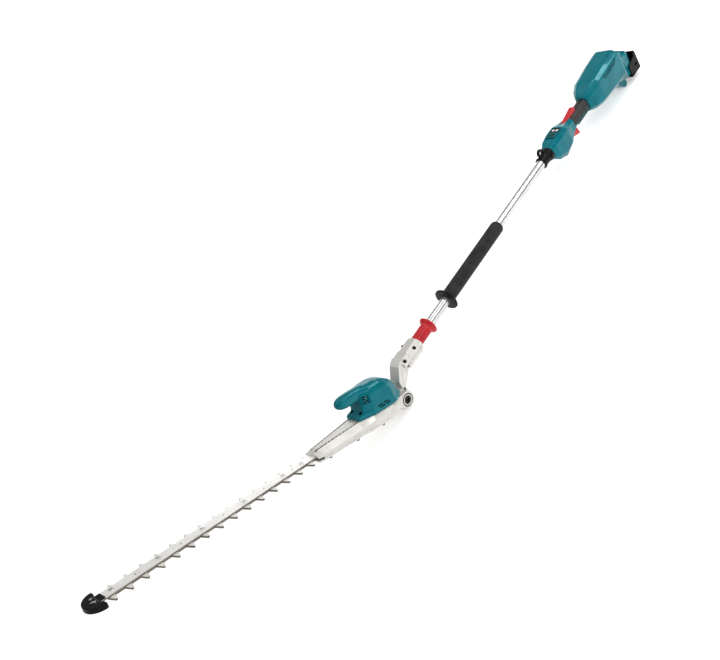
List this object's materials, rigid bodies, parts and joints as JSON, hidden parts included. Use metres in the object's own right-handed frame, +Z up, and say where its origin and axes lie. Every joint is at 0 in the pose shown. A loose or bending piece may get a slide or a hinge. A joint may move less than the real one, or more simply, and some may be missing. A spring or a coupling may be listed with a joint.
{
  "type": "pole hedge trimmer",
  "caption": "Battery pole hedge trimmer: angled cutting head with double-sided reciprocating blades, straight pole with foam grip, rear trigger handle and battery seat.",
  "frame": {"origin": "on the resting surface, under the middle of the tool as it lies on its rear foot and pivot", "axes": "+X along the pole from the handle to the blade, +Y to the left, +Z up"},
  "size_m": [2.1636, 0.09, 0.3847],
  "materials": {
    "teal_plastic": "semi-gloss moulded nylon",
    "black_plastic": "fine texture",
    "red_plastic": "semi-gloss",
    "grip_rubber": "soft overmould",
    "grip_foam": "closed-cell foam",
    "cast_aluminium": "shot-blasted casting",
    "tube_aluminium": "satin anodised",
    "blade_steel": "ground",
    "plain_steel": "turned",
    "black_screw": "black oxide",
    "bright_screw": "zinc plated",
    "bronze": "sintered",
    "copper": "enamelled wire",
    "contact_metal": "plated",
    "laminated_steel": "laminated",
    "circuit_board": "solder mask",
    "button_grey": "smooth",
    "lamp_lens": "clear",
    "felt": "pressed felt",
    "cable_sheath": "smooth"
  },
  "bodies": {
    "root": {"pole_tube": "tube_aluminium", "motor_cable": "cable_sheath", "front_grip": "grip_foam", "grip_flange": "black_plastic", "sleeve_spring": "plain_steel", "elbow_arm": "cast_aluminium", "clamp_cap": "cast_aluminium", "clamp_bolts": "black_screw", "pivot_bushes": "bronze", "handle_left": "teal_plastic", "handle_right": "teal_plastic", "handle_screws": "bright_screw", "grip_overmold": "grip_rubber", "trigger_pin": "plain_steel", "lever_pin": "plain_steel", "main_switch": "black_plastic", "control_panel": "black_plastic", "indicator_lamps": "lamp_lens", "button_board": "circuit_board", "pole_collar": "black_plastic", "collar_screw": "black_screw", "strap_hanger": "black_plastic", "rear_housing_left": "teal_plastic", "rear_housing_right": "teal_plastic", "rear_housing_screws": "bright_screw", "controller_module": "cast_aluminium", "battery_guard": "black_plastic", "battery_rails": "teal_plastic", "battery_terminals": "contact_metal"},
    "release_sleeve": {"release_sleeve": "red_plastic"},
    "lock_pin": {"lock_pin": "plain_steel"},
    "trigger": {"trigger": "red_plastic"},
    "lock_off_lever": {"lock_off_lever": "red_plastic"},
    "power_button": {"power_button": "button_grey"},
    "speed_button": {"speed_button": "button_grey"},
    "head": {"gear_case": "cast_aluminium", "gear_case_cover": "cast_aluminium", "case_bolts": "black_screw", "pivot_bolt": "black_screw", "pivot_nut": "plain_steel", "index_ring": "plain_steel", "motor_cover": "teal_plastic", "cover_screws": "black_screw", "motor_stator": "laminated_steel", "motor_windings": "copper", "motor_bearings": "plain_steel", "motor_bridge": "cast_aluminium", "crank_bearings": "plain_steel", "guide_bar": "blade_steel", "blade_bolts": "bright_screw", "blade_nuts": "bright_screw", "felt_wiper": "felt", "tip_guard": "black_plastic", "tip_guard_screws": "black_screw"},
    "rotor": {"motor_rotor": "laminated_steel", "motor_fan": "black_plastic"},
    "crank": {"crank_gear": "plain_steel"},
    "upper_blade": {"upper_blade": "blade_steel"},
    "lower_blade": {"lower_blade": "blade_steel"}
  },
  "joints": [
    {"name": "head_tilt", "type": "hinge", "parent": "root", "child": "head", "pos_m": [0.25, 0, 0.027], "axis": [0, -1, 0], "range_deg": [-115, 11.5]},
    {"name": "sleeve_pull", "type": "slide", "parent": "root", "child": "release_sleeve", "axis": [-1, 0, 0], "range_m": [0, 0.02], "stiffness_N_per_m": 300, "springref_m": -0.01},
    {"name": "pin_draw", "type": "slide", "parent": "root", "child": "lock_pin", "axis": [-0.7178, 0, 0.6963], "range_m": [0, 0.005]},
    {"name": "trigger_pull", "type": "hinge", "parent": "root", "child": "trigger", "pos_m": [-0.715, 0, 0.0602], "axis": [0, 1, 0], "range_deg": [0, 10], "stiffness_Nm_per_rad": 0.4, "springref_deg": -17.19},
    {"name": "lever_press", "type": "hinge", "parent": "root", "child": "lock_off_lever", "pos_m": [-0.712, 0, 0.0952], "axis": [0, -1, 0], "range_deg": [0, 8], "stiffness_Nm_per_rad": 0.5, "springref_deg": -17.19},
    {"name": "power_press", "type": "slide", "parent": "root", "child": "power_button", "axis": [0, 0, -1], "range_m": [0, 0.0008], "stiffness_N_per_m": 400, "springref_m": -0.0005},
    {"name": "speed_press", "type": "slide", "parent": "root", "child": "speed_button", "axis": [0, 0, -1], "range_m": [0, 0.0008], "stiffness_N_per_m": 400, "springref_m": -0.0005},
    {"name": "crank_turn", "type": "hinge", "parent": "head", "child": "crank", "pos_m": [0.3364, 0, 0.06403], "axis": [-0.3939, 0, 0.9191], "range_deg": [-90, 90]},
    {"name": "rotor_spin", "type": "hinge", "parent": "head", "child": "rotor", "pos_m": [0.30699, 0, 0.05142], "axis": [-0.3939, 0, 0.9191], "range_deg": [-487, 487]},
    {"name": "upper_stroke", "type": "slide", "parent": "head", "child": "upper_blade", "axis": [0.9191, 0, 0.3939], "range_m": [-0.00801, 0.00801]},
    {"name": "lower_stroke", "type": "slide", "parent": "head", "child": "lower_blade", "axis": [0.9191, 0, 0.3939], "range_m": [-0.00801, 0.00801]}
  ],
  "couplings": [
    {"joint": "pin_draw", "follows": "sleeve_pull", "ratio": 0.25},
    {"joint": "rotor_spin", "follows": "crank_turn", "ratio": -5.4},
    {"joint": "upper_stroke", "follows": "crank_turn", "m_per_rad": -0.005093},
    {"joint": "lower_stroke", "follows": "crank_turn", "m_per_rad": 0.005093}
  ]
}
